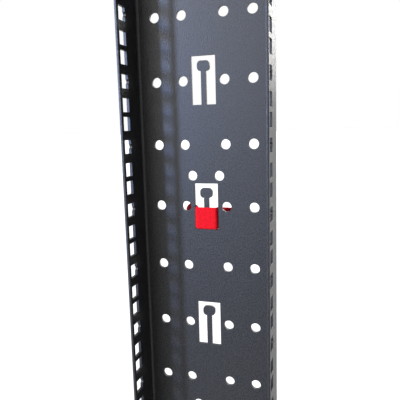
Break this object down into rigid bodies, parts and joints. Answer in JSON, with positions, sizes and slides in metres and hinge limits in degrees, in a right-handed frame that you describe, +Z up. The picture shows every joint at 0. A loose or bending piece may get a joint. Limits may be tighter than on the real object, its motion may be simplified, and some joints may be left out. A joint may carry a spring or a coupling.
{
  "type": "two post rack upright with cable strap",
  "caption": "Open channel upright of a two post rack, with square cage-nut holes in both flanges, a web of round holes and tongued tie windows, and a red hook-and-loop cable strap.",
  "frame": {"origin": "on the foot's end face, at the middle of the web's width and thickness", "axes": "+Z up the upright, +X across the web, -Y from the web towards the flanges' free edges"},
  "size_m": [0.1016, 0.0781, 0.5734],
  "materials": {
    "charcoal_powder_coat": "satin charcoal powder coat with a fine grain",
    "red_strap_fabric": "brushed red loop pile on a woven strap"
  },
  "bodies": {
    "root": {"upright_channel": "charcoal_powder_coat", "cable_strap": "red_strap_fabric"}
  },
  "joints": []
}
